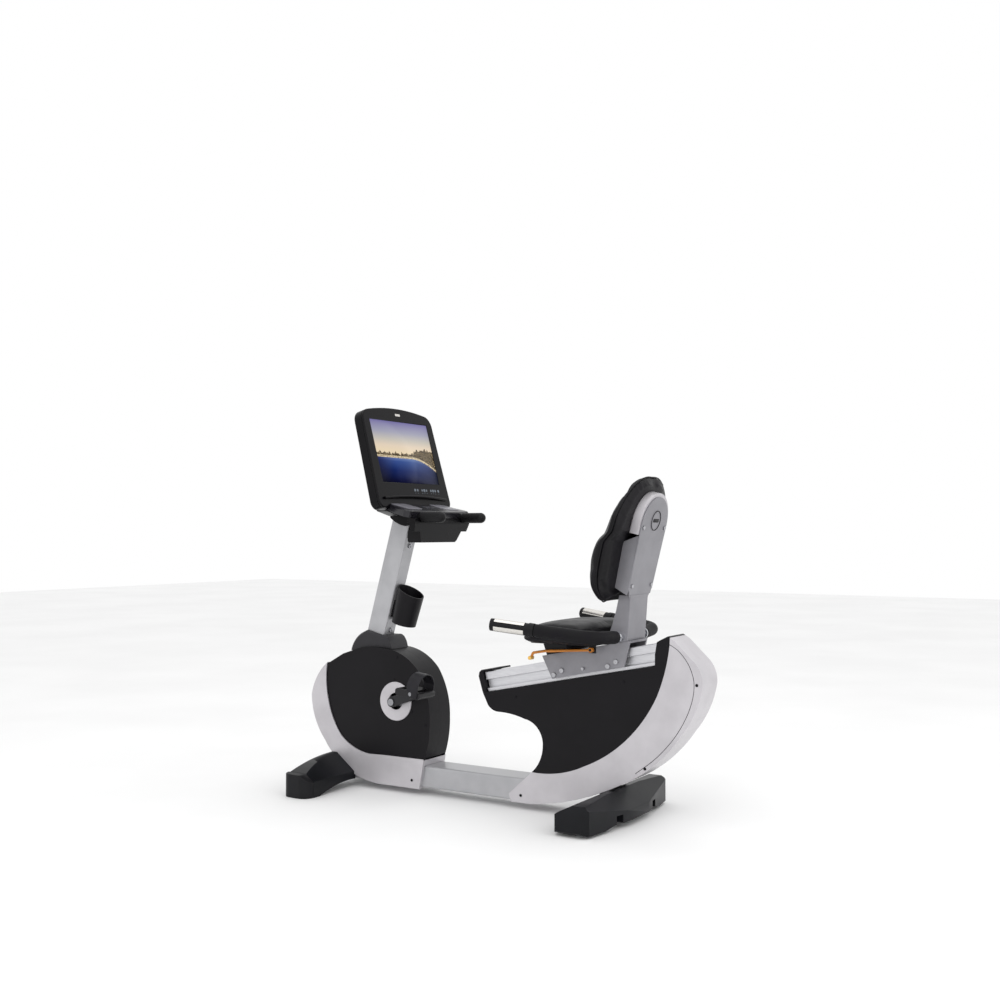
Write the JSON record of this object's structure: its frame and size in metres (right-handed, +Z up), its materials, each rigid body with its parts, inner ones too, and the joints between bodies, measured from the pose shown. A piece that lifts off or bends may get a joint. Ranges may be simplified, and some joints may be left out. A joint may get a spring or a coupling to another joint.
{
  "type": "recumbent exercise bike",
  "caption": "Recumbent exercise bike: beam frame with covered crank drive, leaning mast with console, and a reclined seat with side grips that slides on an inclined rail.",
  "frame": {"origin": "on the floor, under the middle of the whole machine", "axes": "+X from the console to the seat, +Y to the rider's right, +Z up"},
  "size_m": [1.5784, 0.6702, 1.4003],
  "materials": {
    "frame_silver": "satin silver powder coat",
    "frame_dark": "dark primer coat inside the covers",
    "bolt_steel": "zinc plated",
    "silver_cover": "satin silver lacquer on moulded covers",
    "black_cover": "fine moulded grain",
    "cover_screw": "black oxide",
    "foot_plastic": "textured",
    "foot_rubber": "matt",
    "leveller_steel": "plated",
    "console_plastic": "fine satin",
    "deck_plastic": "satin grey",
    "key_rubber": "satin",
    "screen": "display behind a clear sheet",
    "bar_steel": "black",
    "grip_rubber": "matt",
    "cup_plastic": "fine moulded grain",
    "crank_metal": "satin black",
    "spindle_steel": "turned",
    "pedal_plastic": "textured",
    "strap_rubber": "satin",
    "pulley_plastic": "glass filled nylon",
    "belt_rubber": "ribbed",
    "brake_iron": "turned",
    "rail_aluminium": "clear anodised",
    "seat_metal": "satin grey powder coat",
    "pan_metal": "satin black",
    "vinyl": "grained black vinyl",
    "arm_chrome": "plated",
    "foam": "closed cell foam",
    "contact_metal": "polished",
    "lever_paint": "orange",
    "roller_nylon": "nylon"
  },
  "bodies": {
    "frame": {"bottle_holder": "cup_plastic", "console_back_shell": "console_plastic", "console_bezel": "console_plastic", "console_deck": "deck_plastic", "console_neck": "console_plastic", "console_pod": "console_plastic", "cover_screws": "cover_screw", "crank_bearings": "spindle_steel", "crank_trim_rings": "silver_cover", "crossbars": "frame_dark", "drive_belt": "belt_rubber", "frame_bolts": "bolt_steel", "frame_brackets": "frame_dark", "front_foot_caps": "foot_rubber", "front_foot_covers": "foot_plastic", "front_grips": "grip_rubber", "front_handlebar": "bar_steel", "main_beam": "frame_silver", "mast_boot": "black_cover", "mast_post": "frame_silver", "rear_foot_cover": "foot_plastic", "rear_panel_left": "black_cover", "rear_panel_right": "black_cover", "rear_shell_left": "silver_cover", "rear_shell_right": "silver_cover", "screen_panel": "screen", "seat_rail": "rail_aluminium", "shroud_left": "black_cover", "shroud_right": "black_cover", "skirt_left": "silver_cover", "skirt_right": "silver_cover"},
    "crankset": {"crank_spindle": "spindle_steel", "crank_arm_left": "crank_metal", "crank_arm_right": "crank_metal", "drive_pulley": "pulley_plastic", "pedal_axles": "spindle_steel"},
    "pedal_left_body": {"pedal_left": "pedal_plastic", "pedal_strap_left": "strap_rubber"},
    "pedal_right_body": {"pedal_right": "pedal_plastic", "pedal_strap_right": "strap_rubber"},
    "brake_rotor": {"brake_wheel": "brake_iron"},
    "seat": {"seat_carriage": "seat_metal", "seat_fasteners": "bolt_steel", "seat_back_frame": "seat_metal", "back_cover": "silver_cover", "backrest_cushion": "vinyl", "seat_pad": "vinyl", "seat_pan": "pan_metal", "arm_tubes": "arm_chrome", "arm_foams": "foam", "side_grips": "grip_rubber", "grip_contacts": "contact_metal"},
    "front_roller_pair": {"rollers_front": "roller_nylon"},
    "rear_roller_pair": {"rollers_rear": "roller_nylon"},
    "lever_body": {"release_lever": "lever_paint"},
    "shoe_body": {"clamp_shoe": "bolt_steel"},
    "key_up_body": {"key_up": "key_rubber"},
    "key_down_body": {"key_down": "key_rubber"},
    "leveller_left_body": {"leveller_left": "leveller_steel"},
    "leveller_right_body": {"leveller_right": "leveller_steel"}
  },
  "joints": [
    {"name": "crank_spin", "type": "hinge", "parent": "frame", "child": "crankset", "pos_m": [-0.392, 0, 0.328], "axis": [0, 1, 0], "continuous": true},
    {"name": "pedal_left_spin", "type": "hinge", "parent": "crankset", "child": "pedal_left_body", "pos_m": [-0.23032, 0, 0.38053], "axis": [0, 1, 0], "continuous": true},
    {"name": "pedal_right_spin", "type": "hinge", "parent": "crankset", "child": "pedal_right_body", "pos_m": [-0.55368, 0, 0.27547], "axis": [0, 1, 0], "continuous": true},
    {"name": "brake_spin", "type": "hinge", "parent": "frame", "child": "brake_rotor", "pos_m": [-0.592, 0, 0.29], "axis": [0, 1, 0], "continuous": true},
    {"name": "seat_slide", "type": "slide", "parent": "frame", "child": "seat", "axis": [0.9803, 0, 0.1977], "range_m": [-0.19, 0.06]},
    {"name": "front_roller_spin", "type": "hinge", "parent": "seat", "child": "front_roller_pair", "pos_m": [0.27812, 0, 0.47301], "axis": [0, 1, 0], "continuous": true},
    {"name": "rear_roller_spin", "type": "hinge", "parent": "seat", "child": "rear_roller_pair", "pos_m": [0.47809, 0, 0.51333], "axis": [0, 1, 0], "continuous": true},
    {"name": "lever_turn", "type": "hinge", "parent": "seat", "child": "lever_body", "pos_m": [0.431, -0.12, 0.561], "axis": [0, 1, 0], "range_deg": [0, 8], "stiffness_Nm_per_rad": 0.6, "springref_deg": -17.19},
    {"name": "shoe_slide", "type": "slide", "parent": "seat", "child": "shoe_body", "axis": [0, -1, 0], "range_m": [0, 0.0026]},
    {"name": "key_up_press", "type": "slide", "parent": "frame", "child": "key_up_body", "axis": [-0.225, 0, -0.9744], "range_m": [0, 0.0015], "stiffness_N_per_m": 400, "springref_m": -0.001},
    {"name": "key_down_press", "type": "slide", "parent": "frame", "child": "key_down_body", "axis": [-0.225, 0, -0.9744], "range_m": [0, 0.0015], "stiffness_N_per_m": 400, "springref_m": -0.001},
    {"name": "leveller_left_screw", "type": "slide", "parent": "frame", "child": "leveller_left_body", "axis": [0, 0, -1], "range_m": [0, 0.012]},
    {"name": "leveller_right_screw", "type": "slide", "parent": "frame", "child": "leveller_right_body", "axis": [0, 0, -1], "range_m": [0, 0.012]}
  ],
  "couplings": [
    {"joint": "brake_spin", "follows": "crank_spin", "ratio": 4.4},
    {"joint": "front_roller_spin", "follows": "seat_slide", "rad_per_m": 74.074},
    {"joint": "rear_roller_spin", "follows": "seat_slide", "rad_per_m": 74.074},
    {"joint": "shoe_slide", "follows": "lever_turn", "m_per_rad": 0.017905}
  ]
}
